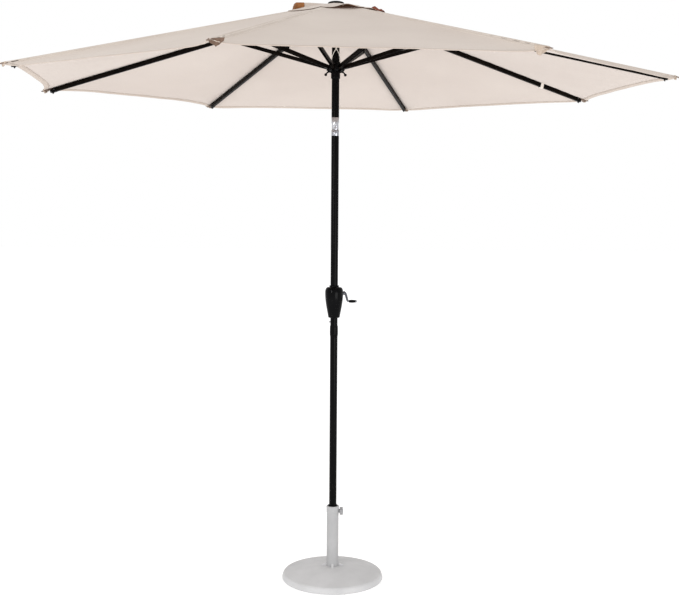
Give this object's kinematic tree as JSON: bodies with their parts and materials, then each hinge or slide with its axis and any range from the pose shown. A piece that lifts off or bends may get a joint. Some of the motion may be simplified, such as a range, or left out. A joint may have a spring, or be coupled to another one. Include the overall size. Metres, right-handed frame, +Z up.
{
  "type": "patio umbrella with base",
  "caption": "Market umbrella with ribbed fabric canopy, vent cap, crank lift, tilting pole and round weighted foot.",
  "frame": {"origin": "centre of the foot's underside, on the pole's axis", "axes": "+Z up along the pole; +X towards the crank and the tilt's lean"},
  "size_m": [2.6376, 2.6376, 2.461],
  "materials": {
    "canopy_cloth": "woven polyester canvas, beige",
    "black_steel": "satin black powder coat",
    "black_plastic": "glossy moulded nylon",
    "chrome": "bright plated",
    "foot_cast": "light grey cast composite, moulded relief",
    "foot_paint": "light grey enamel",
    "foot_knob": "light grey moulded knob",
    "cord": "braided cord, off white"
  },
  "bodies": {
    "base": {"foot_plate": "foot_cast", "foot_tube": "foot_paint", "foot_collar": "foot_paint", "knob_nut": "black_steel"},
    "knob": {"base_knob": "foot_knob", "knob_bolt": "chrome"},
    "sleeve": {"reducer_sleeve": "black_plastic"},
    "pole": {"lower_pole": "black_steel", "pole_foot_plug": "black_plastic", "pole_neck": "black_steel", "upper_pole": "black_steel", "housing_front": "black_plastic", "housing_rear": "black_plastic", "housing_screw": "chrome", "tilt_lower_casting": "chrome", "tilt_pin_front": "chrome", "tilt_pin_rear": "chrome", "lift_cord_lower": "cord"},
    "snap_button": {"snap_button": "chrome"},
    "crank": {"cord_spool": "black_plastic", "crank_shaft": "chrome", "crank_arm": "chrome", "grip_cap": "chrome"},
    "grip": {"crank_grip": "black_plastic"},
    "top": {"tilt_upper_casting": "chrome", "top_pole": "black_steel", "hub": "black_plastic", "pulley_pin": "chrome", "finial": "black_plastic", "vent_cap": "canopy_cloth", "lift_cord_upper": "cord", "lift_cord_drop": "cord"},
    "pulley": {"pulley": "black_plastic"},
    "tilt_button": {"tilt_button": "chrome"},
    "runner": {"runner": "black_plastic", "cord_bridle": "cord"},
    "rib_1": {"rib_1": "black_steel"},
    "stretcher_1": {"stretcher_1": "black_steel"},
    "panel_1": {"canopy_panel_1": "canopy_cloth"},
    "rib_2": {"rib_2": "black_steel"},
    "stretcher_2": {"stretcher_2": "black_steel"},
    "panel_2": {"canopy_panel_2": "canopy_cloth"},
    "rib_3": {"rib_3": "black_steel"},
    "stretcher_3": {"stretcher_3": "black_steel"},
    "panel_3": {"canopy_panel_3": "canopy_cloth"},
    "rib_4": {"rib_4": "black_steel"},
    "stretcher_4": {"stretcher_4": "black_steel"},
    "panel_4": {"canopy_panel_4": "canopy_cloth"},
    "rib_5": {"rib_5": "black_steel"},
    "stretcher_5": {"stretcher_5": "black_steel"},
    "panel_5": {"canopy_panel_5": "canopy_cloth"},
    "rib_6": {"rib_6": "black_steel"},
    "stretcher_6": {"stretcher_6": "black_steel"},
    "panel_6": {"canopy_panel_6": "canopy_cloth"},
    "rib_7": {"rib_7": "black_steel"},
    "stretcher_7": {"stretcher_7": "black_steel"},
    "panel_7": {"canopy_panel_7": "canopy_cloth"},
    "rib_8": {"rib_8": "black_steel"},
    "stretcher_8": {"stretcher_8": "black_steel"},
    "panel_8": {"canopy_panel_8": "canopy_cloth"}
  },
  "joints": [
    {"name": "base_knob_turn", "type": "hinge", "parent": "base", "child": "knob", "pos_m": [0.04, 0, 0.297], "axis": [1, 0, 0], "continuous": true},
    {"name": "pole_swivel", "type": "hinge", "parent": "base", "child": "sleeve", "pos_m": [0, 0, 0.32], "axis": [0, 0, 1], "continuous": true},
    {"name": "pole_lift", "type": "slide", "parent": "sleeve", "child": "pole", "axis": [0, 0, 1], "range_m": [0, 0.3]},
    {"name": "snap_button_press", "type": "slide", "parent": "pole", "child": "snap_button", "axis": [1, 0, 0], "range_m": [0, 0.005], "stiffness_N_per_m": 400, "springref_m": -0.004},
    {"name": "tilt", "type": "hinge", "parent": "pole", "child": "top", "pos_m": [0, 0, 1.944], "axis": [0, 1, 0], "range_deg": [0, 30]},
    {"name": "tilt_button_press", "type": "slide", "parent": "top", "child": "tilt_button", "axis": [-1, 0, 0], "range_m": [0, 0.0035], "stiffness_N_per_m": 400, "springref_m": -0.004},
    {"name": "runner_slide", "type": "slide", "parent": "top", "child": "runner", "axis": [0, 0, 1], "range_m": [-0.63408, 0], "deforming": ["canopy_panel_1", "canopy_panel_2", "canopy_panel_3", "canopy_panel_4", "canopy_panel_5", "canopy_panel_6", "canopy_panel_7", "canopy_panel_8", "vent_cap", "lift_cord_drop"]},
    {"name": "crank_spin", "type": "hinge", "parent": "pole", "child": "crank", "pos_m": [0.03, 0, 1.244], "axis": [1, 0, 0], "range_deg": [-2881, 1]},
    {"name": "grip_spin", "type": "hinge", "parent": "crank", "child": "grip", "pos_m": [0.07, 0, 1.209], "axis": [1, 0, 0], "continuous": true},
    {"name": "pulley_spin", "type": "hinge", "parent": "top", "child": "pulley", "pos_m": [0.00091, -0.00795, 2.404], "axis": [0.9936, 0.1132, 0], "range_deg": [-1, 3428]},
    {"name": "rib_1_fold", "type": "hinge", "parent": "top", "child": "rib_1", "pos_m": [-0.00827, -0.02884, 2.433], "axis": [0.9613, -0.2756, 0], "range_deg": [0, 72.42]},
    {"name": "stretcher_1_fold", "type": "hinge", "parent": "rib_1", "child": "stretcher_1", "pos_m": [-0.12472, -0.43495, 2.31022], "axis": [0.9613, -0.2756, 0], "range_deg": [-144.84, 0]},
    {"name": "panel_1_fold", "type": "hinge", "parent": "top", "child": "panel_1", "pos_m": [-0.00415, 0.03643, 2.37991], "axis": [0.9936, 0.1132, 0], "range_deg": [0, 71.65]},
    {"name": "rib_2_fold", "type": "hinge", "parent": "top", "child": "rib_2", "pos_m": [0.01454, -0.02624, 2.433], "axis": [0.8746, 0.4848, 0], "range_deg": [0, 72.42]},
    {"name": "stretcher_2_fold", "type": "hinge", "parent": "rib_2", "child": "stretcher_2", "pos_m": [0.21936, -0.39574, 2.31022], "axis": [0.8746, 0.4848, 0], "range_deg": [-144.84, 0]},
    {"name": "panel_2_fold", "type": "hinge", "parent": "top", "child": "panel_2", "pos_m": [-0.02869, 0.02283, 2.37991], "axis": [0.6225, 0.7826, 0], "range_deg": [0, 71.65]},
    {"name": "rib_3_fold", "type": "hinge", "parent": "top", "child": "rib_3", "pos_m": [0.02884, -0.00827, 2.433], "axis": [0.2756, 0.9613, 0], "range_deg": [0, 72.42]},
    {"name": "stretcher_3_fold", "type": "hinge", "parent": "rib_3", "child": "stretcher_3", "pos_m": [0.43495, -0.12472, 2.31022], "axis": [0.2756, 0.9613, 0], "range_deg": [-144.84, 0]},
    {"name": "panel_3_fold", "type": "hinge", "parent": "top", "child": "panel_3", "pos_m": [-0.03643, -0.00415, 2.37991], "axis": [-0.1132, 0.9936, 0], "range_deg": [0, 71.65]},
    {"name": "rib_4_fold", "type": "hinge", "parent": "top", "child": "rib_4", "pos_m": [0.02624, 0.01454, 2.433], "axis": [-0.4848, 0.8746, 0], "range_deg": [0, 72.42]},
    {"name": "stretcher_4_fold", "type": "hinge", "parent": "rib_4", "child": "stretcher_4", "pos_m": [0.39574, 0.21936, 2.31022], "axis": [-0.4848, 0.8746, 0], "range_deg": [-144.84, 0]},
    {"name": "panel_4_fold", "type": "hinge", "parent": "top", "child": "panel_4", "pos_m": [-0.02283, -0.02869, 2.37991], "axis": [-0.7826, 0.6225, 0], "range_deg": [0, 71.65]},
    {"name": "rib_5_fold", "type": "hinge", "parent": "top", "child": "rib_5", "pos_m": [0.00827, 0.02884, 2.433], "axis": [-0.9613, 0.2756, 0], "range_deg": [0, 72.42]},
    {"name": "stretcher_5_fold", "type": "hinge", "parent": "rib_5", "child": "stretcher_5", "pos_m": [0.12472, 0.43495, 2.31022], "axis": [-0.9613, 0.2756, 0], "range_deg": [-144.84, 0]},
    {"name": "panel_5_fold", "type": "hinge", "parent": "top", "child": "panel_5", "pos_m": [0.00415, -0.03643, 2.37991], "axis": [-0.9936, -0.1132, 0], "range_deg": [0, 71.65]},
    {"name": "rib_6_fold", "type": "hinge", "parent": "top", "child": "rib_6", "pos_m": [-0.01454, 0.02624, 2.433], "axis": [-0.8746, -0.4848, 0], "range_deg": [0, 72.42]},
    {"name": "stretcher_6_fold", "type": "hinge", "parent": "rib_6", "child": "stretcher_6", "pos_m": [-0.21936, 0.39574, 2.31022], "axis": [-0.8746, -0.4848, 0], "range_deg": [-144.84, 0]},
    {"name": "panel_6_fold", "type": "hinge", "parent": "top", "child": "panel_6", "pos_m": [0.02869, -0.02283, 2.37991], "axis": [-0.6225, -0.7826, 0], "range_deg": [0, 71.65]},
    {"name": "rib_7_fold", "type": "hinge", "parent": "top", "child": "rib_7", "pos_m": [-0.02884, 0.00827, 2.433], "axis": [-0.2756, -0.9613, 0], "range_deg": [0, 72.42]},
    {"name": "stretcher_7_fold", "type": "hinge", "parent": "rib_7", "child": "stretcher_7", "pos_m": [-0.43495, 0.12472, 2.31022], "axis": [-0.2756, -0.9613, 0], "range_deg": [-144.84, 0]},
    {"name": "panel_7_fold", "type": "hinge", "parent": "top", "child": "panel_7", "pos_m": [0.03643, 0.00415, 2.37991], "axis": [0.1132, -0.9936, 0], "range_deg": [0, 71.65]},
    {"name": "rib_8_fold", "type": "hinge", "parent": "top", "child": "rib_8", "pos_m": [-0.02624, -0.01454, 2.433], "axis": [0.4848, -0.8746, 0], "range_deg": [0, 72.42]},
    {"name": "stretcher_8_fold", "type": "hinge", "parent": "rib_8", "child": "stretcher_8", "pos_m": [-0.39574, -0.21936, 2.31022], "axis": [0.4848, -0.8746, 0], "range_deg": [-144.84, 0]},
    {"name": "panel_8_fold", "type": "hinge", "parent": "top", "child": "panel_8", "pos_m": [0.02283, 0.02869, 2.37991], "axis": [0.7826, -0.6225, 0], "range_deg": [0, 71.65]}
  ],
  "couplings": [
    {"joint": "crank_spin", "follows": "runner_slide", "rad_per_m": 79.273},
    {"joint": "pulley_spin", "follows": "runner_slide", "rad_per_m": -94.34},
    {"joint": "rib_1_fold", "follows": "runner_slide", "rad_per_m": -1.9928},
    {"joint": "stretcher_1_fold", "follows": "runner_slide", "rad_per_m": 3.9857},
    {"joint": "panel_1_fold", "follows": "runner_slide", "rad_per_m": -1.9716},
    {"joint": "rib_2_fold", "follows": "runner_slide", "rad_per_m": -1.9928},
    {"joint": "stretcher_2_fold", "follows": "runner_slide", "rad_per_m": 3.9857},
    {"joint": "panel_2_fold", "follows": "runner_slide", "rad_per_m": -1.9716},
    {"joint": "rib_3_fold", "follows": "runner_slide", "rad_per_m": -1.9928},
    {"joint": "stretcher_3_fold", "follows": "runner_slide", "rad_per_m": 3.9857},
    {"joint": "panel_3_fold", "follows": "runner_slide", "rad_per_m": -1.9716},
    {"joint": "rib_4_fold", "follows": "runner_slide", "rad_per_m": -1.9928},
    {"joint": "stretcher_4_fold", "follows": "runner_slide", "rad_per_m": 3.9857},
    {"joint": "panel_4_fold", "follows": "runner_slide", "rad_per_m": -1.9716},
    {"joint": "rib_5_fold", "follows": "runner_slide", "rad_per_m": -1.9928},
    {"joint": "stretcher_5_fold", "follows": "runner_slide", "rad_per_m": 3.9857},
    {"joint": "panel_5_fold", "follows": "runner_slide", "rad_per_m": -1.9716},
    {"joint": "rib_6_fold", "follows": "runner_slide", "rad_per_m": -1.9928},
    {"joint": "stretcher_6_fold", "follows": "runner_slide", "rad_per_m": 3.9857},
    {"joint": "panel_6_fold", "follows": "runner_slide", "rad_per_m": -1.9716},
    {"joint": "rib_7_fold", "follows": "runner_slide", "rad_per_m": -1.9928},
    {"joint": "stretcher_7_fold", "follows": "runner_slide", "rad_per_m": 3.9857},
    {"joint": "panel_7_fold", "follows": "runner_slide", "rad_per_m": -1.9716},
    {"joint": "rib_8_fold", "follows": "runner_slide", "rad_per_m": -1.9928},
    {"joint": "stretcher_8_fold", "follows": "runner_slide", "rad_per_m": 3.9857},
    {"joint": "panel_8_fold", "follows": "runner_slide", "rad_per_m": -1.9716}
  ]
}
